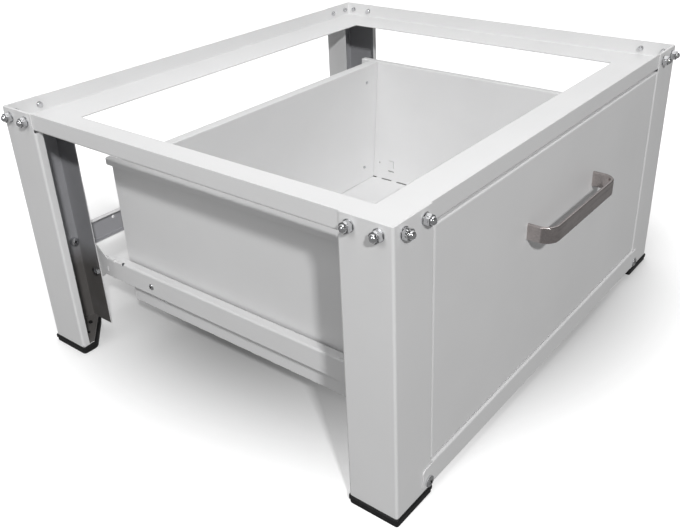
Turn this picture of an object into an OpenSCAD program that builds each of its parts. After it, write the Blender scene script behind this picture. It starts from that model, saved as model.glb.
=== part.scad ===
// Pedestal with a drawer for a front-loading washing machine.
// Four folded corner legs carry a bolted ring frame that the appliance stands on.
// Between the legs a folded sheet drawer runs on two ball-bearing slides.
// Millimetres, +X right, +Y back, +Z up, seen from the drawer front.
// The origin is on the floor, under the middle of the whole object's box.

/* [Stand] */
// Width over the outer faces of the legs
stand_w = 630; // [600:5:700]
// Depth over the outer faces of the legs
stand_d = 540; // [520:5:600]
// Height from the floor to the top edge
stand_h = 317; // [310:1:360]
// Sheet thickness of legs, frame and rails
sheet = 1.5; // [1.2:0.1:1.8]
// Bend radius of that sheet, on its middle line
bend = 2; // [1.6:0.1:2.5]

/* [Legs] */
// Width of a leg's side panel
leg_side_w = 57; // [56:1:64]
// Width of a leg's front or rear panel
leg_front_w = 58; // [56:1:62]
// Short return lip at the edge of the side panel
leg_short_lip = 9.5; // [7:0.5:12]
// Deep return lip that carries the drawer rails
leg_deep_lip = 37.5; // [34:0.5:44]
// Height of the moulded foot pads
foot_h = 9.5; // [8:0.5:10.5]
// How far a foot pad stands out from the leg
foot_proud = 1.5; // [0.5:0.5:2.5]

/* [Top frame] */
// Height of the ring frame's rim
rim_h = 20; // [18:1:22]
// Width of the window in the ring frame
window_w = 514; // [480:2:520]
// Depth of the window in the ring frame
window_d = 418; // [400:2:424]

/* [Rails] */
// Height of the rails' webs
rail_h = 27; // [24:1:28]
// Width of the drawer rail's top flange
rail_flange = 11; // [8:1:13]
// Height of the drawer rails' middle above the floor
rail_z = 100; // [95:1:110]
// Height of the rear cross rail's web
cross_rail_h = 31.5; // [28:0.5:38]
// Depth of the rear cross rail's flanges
cross_rail_flange = 8; // [6:1:12]

/* [Drawer] */
// Width over the drawer's side walls
tray_w = 485; // [483:0.5:486]
// Sheet thickness of the drawer
tray_sheet = 1; // [0.8:0.1:1.2]
// Top edge of the drawer's walls above the floor
tray_top = 251; // [230:1:256]
// Underside of the drawer's bottom above the floor
tray_bottom = 53; // [48:1:58]
// Forward lean of the drawer's back, in degrees
back_lean = 4; // [0:0.5:4]
// Lower edge of the drawer front above the floor
front_bottom = 41.5; // [41:0.5:46]
// Gap between the drawer front and the top frame
front_gap = 2; // [1:0.5:8]
// Depth of the drawer front's folded edges
front_depth = 16; // [12:1:18]
// Sheet thickness of the drawer front
front_sheet = 1.2; // [1:0.1:1.5]

/* [Handle] */
// Distance between the middles of the handle's two ends
handle_pitch = 161; // [128:1:224]
// Height of the handle's flat band
handle_band = 18.5; // [12:0.5:24]
// Thickness of the handle's band
handle_t = 4; // [3.6:0.1:5]
// How far the handle stands out from the drawer front
handle_reach = 29; // [25:1:38]
// Bend radius of the handle's corners, on its middle line
handle_bend = 15; // [8:1:18]
// Height of the handle's middle above the floor
handle_z = 214; // [180:1:230]

/* [Slides] */
// Length of a slide
slide_l = 400; // [380:5:400]
// Height of a slide's outer member
slide_h = 27; // [26:0.5:27]
// How far the drawer runs out
travel = 300; // [150:10:300]
// Diameter of the balls
ball_d = 4.76; // [4.5:0.02:4.8]
// Balls in each row of a ball cage
balls_per_row = 6; // [3:1:6]

/* [Fasteners] */
// Shank diameter of the frame's bolts
bolt_d = 6; // [5:0.5:6]
// Width across the flats of the bolts' nuts
nut_flats = 10; // [9:0.5:10.5]
// Height of the cap nuts
cap_nut_h = 10; // [9:0.5:12]
// Distances of the frame bolts from the stand's corner
frame_bolt_steps = [14, 44];

/* [Hidden] */
$fn = 48;

powder_white = "#eceeef";
zinc = "#c9ccd0";
nickel = "#b9b4ae";
pad_black = "#1c1c1e";
cage_steel = "#b0b3b8";

bend_out = bend + sheet / 2;
hole_slack = 0.4;
shank_slack = 0.1;

// Legs
lip_start = stand_h - rim_h - 2;
deep_lip_x = stand_w / 2 - leg_front_w;
short_lip_y = stand_d / 2 - leg_side_w;
pad_reach_x = deep_lip_x + 38.5;
pad_reach_y = stand_d / 2 - 13;
gusset_reach_x = pad_reach_x + 3;
gusset_reach_y = pad_reach_y + 3;
pad_end_y = short_lip_y - 1.5;
peg_places = [[stand_w / 2 - 40, stand_d / 2 - 17, 5], [stand_w / 2 - 24, stand_d / 2 - 35, 3.5]];
// Tiers of a foot pad: start and end as shares of its height, and how far it steps in
foot_tiers = [[0, 0.4, 0.9], [0.4, 0.5, 1.4], [0.5, 0.9, 0], [0.9, 1, 0.8]];
peg_rise = 2;

// Top frame
frame_w = stand_w - 2 * sheet;
frame_d = stand_d - 2 * sheet;
frame_z = stand_h - rim_h;
frame_bolt_z = stand_h - 10;
head_d = 10.4;
head_h = 3.5;
washer_d = 12;
washer_t = 1;

// Drawer rails
rail_top = rail_z + rail_h / 2;
rail_bottom = rail_z - rail_h / 2;
rail_half = short_lip_y;
lobe_r = 7;
tab_end = rail_half + 37;
tab_bottom = rail_bottom - 6.5;
tab_top = rail_top + 12.5;
tab_drop_y = rail_half + 10;
tab_foot_y = rail_half + 18;
support_bolt_y = tab_end - 12;
support_bolt_z = tab_bottom + 8;
support_head_h = 2.1;
relief_y = rail_half + 2;
relief_z = rail_z - 2.8;
relief_size = [7, 2];
dumbbell_y = rail_half - 21;
dumbbell_l = 16;
dumbbell_w = 1.6;
dumbbell_end_d = 5;

// Lower front rail and rear cross rail
lower_rail_bottom = foot_h + 3.5;
lower_flange = 8;
ear_end = deep_lip_x + 16;
ear_r = 5;
ear_screw_x = deep_lip_x + 6.5;
lower_screw_z = lower_rail_bottom + 6.7;
lower_screw_d = 5;
lower_head_d = 12.4;
lower_head_h = 3.2;
lower_nut_flats = 8;
lower_nut_h = 4;
cross_rail_bottom = 109.5;
cross_bolt_x = deep_lip_x + 8.5;
cross_bolt_z = cross_rail_bottom + 14.5;
cross_hole_inset = 55.4;
cross_hole_drop = 8.5;
cross_hole_d = 4;
flange_gap = 1;
bolt_thread = 6;
plain_nut_h = 5;

// Slides: u runs from the rail towards the drawer, v runs up from the slide's middle
slide_z = rail_z - 1.8;
slide_wall_x = deep_lip_x - sheet;
slide_w = slide_wall_x - tray_w / 2;
slide_t = 1.2;
race_slack = 0.06;
race_r = ball_d / 2 + race_slack;
race_u = race_r + slide_t;
race_v = slide_h / 2 - race_r - slide_t;
outer_race_tip = 35;
inner_race_ends = [-105, -30];
inner_flange_v = race_v + race_r * sin(inner_race_ends[1]) - slide_t / 2;
slide_rear_y = stand_d / 2 - 82;
slide_front_y = slide_rear_y - slide_l;
rivet_ys = [slide_front_y + 37, slide_rear_y - 56.4];
rivet_d = 4;
rivet_head_d = 8;
rivet_head_h = 1.4;
rivet_bore_d = 2.2;
slide_bend = 1.4;
stop_w = 8;
stop_rise = 1.1;
stop_root_u = 1.6;
cage_t = 0.8;
cage_bend = 0.9;
cage_u = 1.95;
cage_tip_u = race_u + 3.4;
ball_pitch = 14;
cage_end = 10;
cage_l = (balls_per_row - 1) * ball_pitch + 2 * cage_end;
cage_front_y = slide_front_y + 4 + travel / 2;
inner_screw_ys = [slide_front_y + 48, slide_rear_y - 160];
inner_screw_d = 4;
inner_head_d = 7.5;
inner_head_h = 2;

// Drawer
tray_bend = 1.5;
front_inset = 0.5;
front_y = -stand_d / 2 + front_inset;
tray_front_y = front_y + front_sheet;
tray_rear_y = slide_rear_y;
lip_end_r = 6;
tray_wall_x = tray_w / 2 - tray_sheet / 2;
tray_lip_out = 9.5;
tray_lip_drop = 7.5;
slot_pitch = 30;
slot_count = 15;
slot_l = 20.5;
slot_w = 2;
last_slot_y = tray_rear_y - 14.35;
hook_y = tray_rear_y - 59.5;
hook_z = tray_bottom + 17.5;
hook_size = [12, 18.5];
hook_cut = 0.9;
wall_hole_y = tray_rear_y - 31;
wall_hole_z = tray_bottom + 29;
wall_hole_d = 2.6;
back_y = tray_rear_y - 18;
back_bottom = tray_bottom + tray_sheet;
back_bend = 1.6;
back_depth = 12.5;
angle_w = 36;
angle_side = 14;
angle_bottom = tray_bottom + 9;
angle_top = tray_top - 11;
front_screw_zs = [tray_bottom + 27, tray_top - 31];
back_screw_zs = [tray_bottom + 27.5, tray_top - 26.5];
back_screw_x = tray_w / 2 - 28.5;
front_screw_y = tray_front_y + 8.5;
front_angle_w = 10;
plate_screw_d = 4;
plate_screw_l = 6.5;
plate_head_d = 7;
plate_head_h = 2;
handle_screw_d = 2.6;
handle_screw_l = 9;
front_w = 2 * (deep_lip_x - 1);
front_h = frame_z - front_gap - front_bottom;
front_bend = 2;

// The whole object's box is centred on the origin
shift_y = (handle_reach - front_inset - washer_t - cap_nut_h) / 2;

// ---- Helpers -------------------------------------------------------------------------------

function unit(v) = v / norm(v);

// Moves a piece from the stand's own middle to the origin of the whole object
module placed() {
    translate([0, shift_y, 0]) children();
}

// Turns what is drawn in the rear right quarter into another quarter
module quarter(side, end) {
    mirror([side < 0 ? 1 : 0, 0, 0]) mirror([0, end < 0 ? 1 : 0, 0]) children();
}

module both_sides() {
    for (side = [-1, 1]) quarter(side, 1) children();
}

module all_corners() {
    for (side = [-1, 1], end = [-1, 1]) quarter(side, end) children();
}

// Draws a section of x and z, run along y
module along_y(from, to) {
    translate([0, to, 0]) rotate([90, 0, 0]) linear_extrude(to - from) children();
}

// Draws a section of y and z, run along x
module along_x(from, to) {
    translate([from, 0, 0]) rotate([90, 0, 90]) linear_extrude(to - from) children();
}

// Rectangle around the origin with round corners
module round_rect_2d(w, d, r) {
    square([w - 2 * r, d], center = true);
    square([w, d - 2 * r], center = true);
    for (x = [-1, 1], y = [-1, 1]) translate([x * (w / 2 - r), y * (d / 2 - r)]) circle(r);
}

// Rectangle that stands on y = 0 with its two lower corners round
module two_round_2d(w, h, r) {
    rounded_outline_2d([[-w / 2, 0, r], [w / 2, 0, r], [w / 2, h, 0], [-w / 2, h, 0]]);
}

// Slot with round ends, l long along x
module slot_2d(l, w) {
    square([l - w, w], center = true);
    for (x = [-1, 1]) translate([x * (l - w) / 2, 0]) circle(d = w);
}

// Places that round off one corner, given as [x, y, r]: where the arc starts, where it ends, its middle
function corner_arc(before, corner, after) =
    let (
        spot = [corner.x, corner.y],
        back = unit([before.x, before.y] - spot),
        on = unit([after.x, after.y] - spot),
        half = acos(back * on) / 2,
        cut = corner.z / tan(half)
    )
    [spot + back * cut, spot + on * cut, spot + unit(back + on) * corner.z / sin(half)];

// Outline with the corners [x, y, r], each rounded to its radius r; only outer corners may have one
module rounded_outline_2d(corners) {
    n = len(corners);
    arcs = [for (i = [0 : n - 1]) corner_arc(corners[(i + n - 1) % n], corners[i], corners[(i + 1) % n])];
    polygon([for (i = [0 : n - 1]) for (end = corners[i].z > 0 ? [0, 1] : [0]) arcs[i][end]]);
    for (i = [0 : n - 1]) if (corners[i].z > 0) translate(arcs[i][2]) circle(corners[i].z);
}

// Strip of sheet bent on an arc, r inside, between two angles
module arc_strip_2d(r, t, from, to) {
    steps = ceil((to - from) / 45);
    reach = 2 * (r + t);
    angles = [for (i = [0 : steps]) from + (to - from) * i / steps];
    intersection() {
        difference() {
            circle(r + t);
            circle(r);
        }
        polygon([[0, 0], for (a = angles) reach * [cos(a), sin(a)]]);
    }
}

// Strip of sheet folded along a path of square corners, bend radius r on the middle line
module folded_2d(path, t, r) {
    last = len(path) - 1;
    for (i = [0 : last - 1]) {
        run = unit(path[i + 1] - path[i]);
        side = [-run.y, run.x] * t / 2;
        from = path[i] + run * (i == 0 ? 0 : r);
        to = path[i + 1] - run * (i + 1 == last ? 0 : r);
        polygon([from - side, to - side, to + side, from + side]);
    }
    for (i = [1 : last - 1]) {
        into = unit(path[i] - path[i - 1]);
        out = unit(path[i + 1] - path[i]);
        reach = r + t;
        translate(path[i] + (out - into) * r) intersection() {
            difference() {
                circle(r + t / 2);
                circle(r - t / 2);
            }
            polygon([[0, 0], -out * reach, (into - out) * reach, into * reach]);
        }
    }
}

// Block that stands on z = 0 with its bottom edges and its upright edges round
module dish_block(w, d, h, r) {
    intersection() {
        along_x(-w / 2, w / 2) two_round_2d(d, h, r);
        along_y(-d / 2, d / 2) two_round_2d(w, h, r);
        linear_extrude(h) round_rect_2d(w, d, r);
    }
}

// Sheet folded up on four sides, open at the top
module dish(w, d, h, t, r) {
    difference() {
        dish_block(w, d, h, r);
        translate([0, 0, t]) dish_block(w - 2 * t, d - 2 * t, h, r - t);
    }
}

// Hole along z through a sheet of any of the thicknesses here
module drilled(d) {
    cylinder(d = d, h = 16, center = true);
}

// Domed screw head that rests on z = 0 and rises to z = -h
module pan_head(d, h) {
    crown = 0.45 * h;
    dome = (d * d / 4 + crown * crown) / (2 * crown);
    intersection() {
        translate([0, 0, -h]) cylinder(d = d, h = h);
        translate([0, 0, dome - h]) sphere(dome, $fn = 96);
    }
}

// Screw along z with a cross recess: its head rests on z = 0, its shank points up
module cross_screw(d, length, head_d, head_h) {
    recess_l = 0.5 * head_d;
    recess_w = 0.12 * head_d;
    recess_h = 1.2 * head_h;
    difference() {
        union() {
            cylinder(d = d - shank_slack, h = length);
            pan_head(head_d, head_h);
        }
        translate([0, 0, -head_h]) for (turn = [0, 90]) rotate(turn)
            cube([recess_l, recess_w, recess_h], center = true);
    }
}

// Hexagon nut on z = 0 with chamfered corners
module hex_block(flats, h) {
    corner_r = flats / sqrt(3);
    chamfer = corner_r - flats / 2;
    intersection() {
        cylinder(r = corner_r, h = h, $fn = 6);
        rotate_extrude() polygon([[0, 0], [flats / 2, 0], [corner_r, chamfer], [corner_r, h - chamfer],
            [flats / 2, h], [0, h]]);
    }
}

module hex_nut(flats, h, d) {
    difference() {
        hex_block(flats, h);
        drilled(d);
    }
}

// Nut with a domed cap, blind inside
module cap_nut(flats, h, d) {
    dome_r = 0.44 * flats;
    difference() {
        union() {
            hex_block(flats, h - dome_r);
            translate([0, 0, h - dome_r]) intersection() {
                sphere(dome_r);
                cylinder(r = dome_r, h = dome_r);
            }
        }
        translate([0, 0, -1]) cylinder(d = d, h = h - 1);
    }
}

// ---- Places of the fasteners --------------------------------------------------------------

// The four frame bolts at the rear right corner, z pointing out of the leg's outer face
module at_corner_bolts() {
    for (step = frame_bolt_steps) {
        translate([stand_w / 2, stand_d / 2 - step, frame_bolt_z]) rotate([0, 90, 0]) children();
        translate([stand_w / 2 - step, stand_d / 2, frame_bolt_z]) rotate([-90, 0, 0]) children();
    }
}

// Bolt through the deep lip of the rear right leg, z pointing out of the leg
module at_support_bolt() {
    translate([deep_lip_x, support_bolt_y, support_bolt_z]) rotate([0, 90, 0]) children();
}

// Bolt through the rear panel of the rear right leg, z pointing forward
module at_cross_bolt() {
    translate([cross_bolt_x, stand_d / 2, cross_bolt_z]) rotate([90, 0, 0]) children();
}

// Screw through the front panel of the front right leg, z pointing back
module at_lower_screw() {
    translate([ear_screw_x, -stand_d / 2, lower_screw_z]) rotate([-90, 0, 0]) children();
}

// Rivets that hold the right slide to its rail, z pointing at the drawer
module at_rivets() {
    for (y = rivet_ys) translate([deep_lip_x, y, slide_z]) rotate([0, -90, 0]) children();
}

// Screws that hold the right slide's inner member to the drawer wall, z pointing into the drawer
module at_inner_screws() {
    for (y = inner_screw_ys) translate([tray_w / 2, y, slide_z]) rotate([0, -90, 0]) children();
}

// Screws through the upright drawer back on the right, z pointing back
module at_back_screws() {
    for (z = back_screw_zs) translate([back_screw_x, back_y, z]) rotate([-90, 0, 0]) children();
}

// Screws that hold the drawer front's right angle to the wall, z pointing out of the drawer
module at_front_screws() {
    for (z = front_screw_zs)
        translate([tray_w / 2 - tray_sheet, front_screw_y, z]) rotate([0, 90, 0]) children();
}

// Screws of the handle, z pointing forward
module at_handle_screws() {
    for (side = [-1, 1])
        translate([side * handle_pitch / 2, tray_front_y, handle_z]) rotate([90, 0, 0]) children();
}

// ---- Stand ----------------------------------------------------------------------------------

// Ring of L section with its flange inwards: the appliance's feet stand on the flange
module top_frame() {
    color(powder_white) placed() difference() {
        translate([0, 0, frame_z]) dish(frame_w, frame_d, rim_h, sheet, bend_out);
        translate([0, 0, frame_z + sheet / 2]) cube([window_w, window_d, rim_h], center = true);
        all_corners() at_corner_bolts() drilled(bolt_d + hole_slack);
    }
}

// Leg of the rear right corner: outer corner, a deep lip towards the drawer and a short one beside it
module leg() {
    side_x = (stand_w - sheet) / 2;
    panel_y = (stand_d - sheet) / 2;
    deep_x = deep_lip_x + sheet / 2;
    short_y = short_lip_y + sheet / 2;
    folded_path = [[stand_w / 2 - leg_short_lip, short_y], [side_x, short_y], [side_x, panel_y],
        [deep_x, panel_y], [deep_x, stand_d / 2 - leg_deep_lip]];
    lipless_start = [side_x, short_lip_y + bend_out];
    lipless_end = [deep_lip_x + bend_out, panel_y];
    gusset = [[deep_x, gusset_reach_y], [deep_x, stand_d], [stand_w, stand_d], [stand_w, short_y],
        [gusset_reach_x, short_y]];
    difference() {
        union() {
            translate([0, 0, foot_h]) linear_extrude(lip_start - foot_h)
                folded_2d(folded_path, sheet, bend);
            translate([0, 0, lip_start]) linear_extrude(stand_h - lip_start)
                folded_2d([lipless_start, [side_x, panel_y], lipless_end], sheet, bend);
            translate([0, 0, foot_h]) linear_extrude(sheet) intersection() {
                round_rect_2d(stand_w - sheet, stand_d - sheet, bend);
                polygon(gusset);
            }
        }
        at_corner_bolts() drilled(bolt_d + hole_slack);
        at_support_bolt() drilled(bolt_d + hole_slack);
        for (peg = peg_places) translate([peg[0], peg[1], foot_h]) drilled(peg[2] + 2 * shank_slack);
    }
}

module front_leg(side) {
    color(powder_white) placed() difference() {
        quarter(side, -1) leg();
        quarter(side, 1) at_lower_screw() drilled(lower_screw_d + hole_slack);
    }
}

module rear_leg(side) {
    color(powder_white) placed() difference() {
        quarter(side, 1) leg();
        quarter(side, 1) at_cross_bolt() drilled(bolt_d + hole_slack);
    }
}

// Stepped pad under a leg, with two pegs up through the leg's gusset plate
module foot(side, end) {
    peg_h = sheet + peg_rise;
    color(pad_black) placed() quarter(side, end) {
        for (tier = foot_tiers)
            translate([0, 0, tier[0] * foot_h]) linear_extrude((tier[1] - tier[0]) * foot_h)
                pad_2d(foot_proud - tier[2], tier[2]);
        for (peg = peg_places)
            translate([peg[0], peg[1], foot_h / 2]) cylinder(d = peg[2], h = foot_h / 2 + peg_h);
    }
}

// Outline of the pad of the rear right leg, standing out from the leg by proud, stepped in elsewhere
module pad_2d(proud, step) {
    side_x = stand_w / 2 + proud;
    panel_y = stand_d / 2 + proud;
    inner_x = deep_lip_x - 1 + step;
    end_y = pad_end_y + step;
    rounded_outline_2d([[inner_x, pad_reach_y, 2], [inner_x, panel_y, 2], [side_x, panel_y, bend_out],
        [side_x, end_y, 4], [pad_reach_x, end_y, 12]]);
}

// Low rail across the front, with round ears lapped on the legs and a flange along the top
module front_lower_rail() {
    web_y = -(stand_d + sheet) / 2;
    top_z = lower_rail_bottom + rail_h - sheet / 2;
    flange_end = deep_lip_x - flange_gap;
    section = [[web_y, lower_rail_bottom], [web_y, top_z], [web_y + lower_flange, top_z]];
    color(powder_white) placed() difference() {
        union() {
            along_x(-flange_end, flange_end) folded_2d(section, sheet, bend);
            both_sides() along_y(-stand_d / 2 - sheet, -stand_d / 2)
                translate([flange_end - 1, lower_rail_bottom])
                    ear_2d(ear_end - flange_end + 1, rail_h - bend_out);
        }
        both_sides() at_lower_screw() drilled(lower_screw_d + hole_slack);
    }
}

// Flat ear that runs out along x, with round outer corners
module ear_2d(l, h) {
    rounded_outline_2d([[0, 0, 0], [l, 0, ear_r], [l, h, ear_r], [0, h, 0]]);
}

// C-shaped rail across the back, open towards the drawer, with ears lapped on the legs
module rear_cross_rail() {
    web_y = (stand_d + sheet) / 2;
    low_z = cross_rail_bottom + sheet / 2;
    high_z = cross_rail_bottom + cross_rail_h - sheet / 2;
    tip_y = web_y - cross_rail_flange;
    flange_end = deep_lip_x - flange_gap;
    section = [[tip_y, low_z], [web_y, low_z], [web_y, high_z], [tip_y, high_z]];
    color(powder_white) placed() difference() {
        union() {
            along_x(-flange_end, flange_end) folded_2d(section, sheet, bend);
            both_sides() along_y(stand_d / 2, stand_d / 2 + sheet)
                translate([flange_end - 1, cross_rail_bottom + bend_out])
                    ear_2d(ear_end - flange_end + 1, cross_rail_h - 2 * bend_out);
        }
        both_sides() {
            at_cross_bolt() drilled(bolt_d + hole_slack);
            translate([flange_end - cross_hole_inset, stand_d / 2, high_z - cross_hole_drop])
                rotate([90, 0, 0]) drilled(cross_hole_d);
        }
    }
}

// L-shaped rail between two legs: its web carries the slide, its end tabs are bolted to the deep lips
module slide_support(side) {
    web_x = deep_lip_x - sheet / 2;
    flange_z = rail_top - sheet / 2;
    tip_x = deep_lip_x - rail_flange;
    fold_x = deep_lip_x - bend_out;
    color(powder_white) placed() quarter(side, 1) difference() {
        union() {
            along_y(-rail_half, rail_half)
                folded_2d([[web_x, rail_bottom], [web_x, flange_z], [tip_x, flange_z]], sheet, bend);
            for (end = [-1, 1]) quarter(1, end) {
                along_x(deep_lip_x - sheet, deep_lip_x) support_tab_2d();
                translate([0, rail_half, rail_top - sheet]) linear_extrude(sheet) intersection() {
                    translate([fold_x, 0]) circle(lobe_r);
                    translate([tip_x, 0]) square([fold_x - tip_x, lobe_r]);
                }
            }
        }
        for (end = [-1, 1]) quarter(1, end) at_support_bolt() drilled(bolt_d + hole_slack);
        at_rivets() drilled(rivet_d + shank_slack);
        for (end = [-1, 1]) translate([deep_lip_x, end * relief_y, relief_z]) rotate([0, 90, 0])
            linear_extrude(4 * sheet, center = true) slot_2d(relief_size.x, relief_size.y);
        translate([fold_x + bend_out / 2, dumbbell_y, rail_top - bend_out / 2]) rotate([0, 45, 0])
            linear_extrude(4 * bend_out, center = true) dumbbell_2d();
    }
}

// Relief in the rail's fold: a narrow slot between two round holes
module dumbbell_2d() {
    square([dumbbell_w, dumbbell_l], center = true);
    for (end = [-1, 1]) translate([0, end * dumbbell_l / 2]) circle(d = dumbbell_end_d);
}

// Side outline of a rail's end tab, in y and z: it widens from the rail's web
module support_tab_2d() {
    neck_top = rail_top - bend_out;
    rounded_outline_2d([[rail_half - 1, rail_bottom, 0], [tab_drop_y, rail_bottom, 0],
        [tab_foot_y, tab_bottom, 2], [tab_end, tab_bottom, 3], [tab_end, tab_top, 3],
        [tab_foot_y, tab_top, 3], [rail_half, neck_top, 0], [rail_half - 1, neck_top, 0]]);
}

// ---- Fasteners of the stand -------------------------------------------------------------------

module frame_bolts() {
    grip = 2 * sheet;
    color(zinc) placed() all_corners() at_corner_bolts() translate([0, 0, -grip])
        cross_screw(bolt_d, grip + washer_t + bolt_thread, head_d, head_h);
}

module frame_washers() {
    color(zinc) placed() all_corners() at_corner_bolts() difference() {
        cylinder(d = washer_d, h = washer_t);
        drilled(bolt_d + hole_slack);
    }
}

module frame_cap_nuts() {
    color(zinc) placed() all_corners() at_corner_bolts() translate([0, 0, washer_t])
        cap_nut(nut_flats, cap_nut_h, bolt_d + shank_slack);
}

module support_bolts() {
    color(zinc) placed() all_corners() at_support_bolt() translate([0, 0, -sheet])
        cross_screw(bolt_d, 2 * sheet + bolt_thread, head_d, support_head_h);
}

module support_nuts() {
    color(zinc) placed() all_corners() at_support_bolt() translate([0, 0, sheet])
        hex_nut(nut_flats, plain_nut_h, bolt_d + shank_slack);
}

module cross_rail_bolts() {
    color(zinc) placed() both_sides() at_cross_bolt() translate([0, 0, -sheet])
        cross_screw(bolt_d, 2 * sheet + bolt_thread, head_d, head_h);
}

module cross_rail_nuts() {
    color(zinc) placed() both_sides() at_cross_bolt() translate([0, 0, sheet])
        hex_nut(nut_flats, plain_nut_h, bolt_d + shank_slack);
}

module lower_rail_screws() {
    color(zinc) placed() both_sides() at_lower_screw() translate([0, 0, -sheet])
        cross_screw(lower_screw_d, 2 * sheet + bolt_thread, lower_head_d, lower_head_h);
}

module lower_rail_nuts() {
    color(zinc) placed() both_sides() at_lower_screw() translate([0, 0, sheet])
        hex_nut(lower_nut_flats, lower_nut_h, lower_screw_d + shank_slack);
}

// Blind rivets: a ring head outside the rail, the shank flush inside the slide
module slide_rivets() {
    color(zinc) placed() both_sides() at_rivets() difference() {
        union() {
            pan_head(rivet_head_d, rivet_head_h);
            cylinder(d = rivet_d - shank_slack, h = sheet + slide_t);
        }
        translate([0, 0, -2 * rivet_head_h]) cylinder(d = rivet_bore_d, h = 3 * rivet_head_h);
    }
}

// ---- Slides: outer member, caged balls, inner member -------------------------------------------

// Puts a section of u and v on the right slide and runs it along y
module slide_section(from, to) {
    along_y(from, to) translate([slide_wall_x, slide_z]) mirror([1, 0]) children();
}

// Puts what is drawn at u = v = 0 of the right slide in its place
module slide_point(u, v, y) {
    translate([slide_wall_x - u, y, slide_z + v]) children();
}

// C-shaped member whose two edges roll over into the outer races
module slide_outer_2d() {
    translate([0, -race_v]) square([slide_t, 2 * race_v]);
    for (edge = [0, 1]) mirror([0, edge]) translate([race_u, race_v])
        arc_strip_2d(race_r, slide_t, outer_race_tip, 180);
}

// Channel against the drawer wall whose flanges end in the inner races
module slide_inner_2d() {
    tip_u = race_u + race_r * cos(inner_race_ends[1]);
    web_u = slide_w - slide_t / 2;
    folded_2d([[tip_u, inner_flange_v], [web_u, inner_flange_v], [web_u, -inner_flange_v],
        [tip_u, -inner_flange_v]], slide_t, slide_bend);
    for (edge = [0, 1]) mirror([0, edge]) translate([race_u, race_v])
        arc_strip_2d(race_r, slide_t, inner_race_ends[0], inner_race_ends[1]);
}

// Thin strip between the two members that carries both rows of balls
module cage_2d() {
    path = [[cage_tip_u, race_v], [cage_u, race_v], [cage_u, -race_v], [cage_tip_u, -race_v]];
    folded_2d(path, cage_t, cage_bend);
}

module at_balls() {
    for (i = [0 : balls_per_row - 1], row = [-1, 1])
        slide_point(race_u, row * race_v, cage_front_y + cage_end + i * ball_pitch) children();
}

module slide_outer(side) {
    color(zinc) placed() quarter(side, 1) {
        difference() {
            slide_section(slide_front_y, slide_rear_y) slide_outer_2d();
            at_rivets() drilled(rivet_d + shank_slack);
        }
        // Stop for the ball cage, bent in at the front end
        slide_section(slide_front_y, slide_front_y + slide_t) translate([slide_t / 2, -stop_w / 2])
            square([slide_t / 2 + stop_rise, stop_w]);
    }
}

module slide_inner(side) {
    color(zinc) placed() quarter(side, 1) {
        difference() {
            slide_section(slide_front_y, slide_rear_y) slide_inner_2d();
            at_inner_screws() drilled(inner_screw_d + shank_slack);
        }
        // Stop for the ball cage, bent across at the rear end
        slide_section(slide_rear_y - slide_t, slide_rear_y) translate([stop_root_u, -stop_w / 2])
            square([slide_w - slide_t / 2 - stop_root_u, stop_w]);
    }
}

module ball_retainer(side) {
    color(cage_steel) placed() quarter(side, 1) difference() {
        slide_section(cage_front_y, cage_front_y + cage_l) cage_2d();
        at_balls() sphere(d = ball_d + 2 * race_slack);
    }
}

module slide_balls(side) {
    color(zinc) placed() quarter(side, 1) at_balls() sphere(d = ball_d);
}

// ---- Drawer -----------------------------------------------------------------------------------

// Floor and both side walls, folded from one sheet; the walls' top edges roll outwards and down
module drawer_tray() {
    floor_z = tray_bottom + tray_sheet / 2;
    edge_z = tray_top - tray_sheet / 2;
    lip_x = tray_wall_x + tray_lip_out;
    tip_z = tray_top - tray_lip_drop;
    half = [[tray_wall_x, floor_z], [tray_wall_x, edge_z], [lip_x, edge_z], [lip_x, tip_z]];
    left = [for (i = [len(half) - 1 : -1 : 0]) [-half[i].x, half[i].y]];
    color(powder_white) placed() difference() {
        along_y(tray_front_y, tray_rear_y) folded_2d(concat(left, half), tray_sheet, tray_bend);
        both_sides() {
            fold_slots();
            wall_hook();
            at_inner_screws() drilled(inner_screw_d + shank_slack);
            at_front_screws() drilled(plate_screw_d + hole_slack);
            // Round rear corner of the rolled edge
            translate([lip_x + tray_sheet - lip_end_r, tray_rear_y - lip_end_r, tip_z - 1])
                linear_extrude(2 * tray_lip_drop) difference() {
                    square(2 * lip_end_r);
                    circle(lip_end_r);
                }
        }
    }
}

// Row of slots along the fold between floor and wall
module fold_slots() {
    inset = tray_bend * (1 - sqrt(0.5));
    for (i = [0 : slot_count - 1])
        translate([tray_wall_x - inset, last_slot_y - i * slot_pitch, tray_bottom + tray_sheet / 2 + inset])
            rotate([0, -45, 0]) rotate(90) linear_extrude(4, center = true) slot_2d(slot_l, slot_w);
}

// Tongue cut free in the side wall below the slide, with a slot under it
module wall_hook() {
    along_x(tray_w / 2 - 4, tray_w / 2 + 4) {
        translate([hook_y + hook_size[0] / 2, hook_z]) slot_2d(hook_size[0], 2 * hook_cut);
        translate([hook_y, hook_z + hook_size[1] / 3]) square([hook_cut, hook_size[1] * 2 / 3]);
        translate([hook_y, hook_z + hook_size[1] - hook_cut]) square([hook_size[0] - 2, hook_cut]);
    }
    translate([tray_w / 2, wall_hole_y, wall_hole_z]) rotate([0, 90, 0]) drilled(wall_hole_d);
}

// Leans what is drawn upright on the drawer's floor forward, about the back's lower edge
module leaning() {
    translate([0, back_y, back_bottom]) rotate([back_lean, 0, 0]) translate([0, -back_y, -back_bottom])
        children();
}

// Back of the drawer: a pan with its edges folded backwards, set in from the walls' rear ends
module drawer_back() {
    w = tray_w - 2 * tray_sheet;
    h = tray_top - back_bottom;
    color(powder_white) placed() leaning() difference() {
        translate([0, back_y, back_bottom + h / 2]) rotate([-90, 0, 0])
            dish(w, h, back_depth, tray_sheet, back_bend);
        both_sides() at_back_screws() drilled(plate_screw_d + hole_slack);
    }
}

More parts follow.
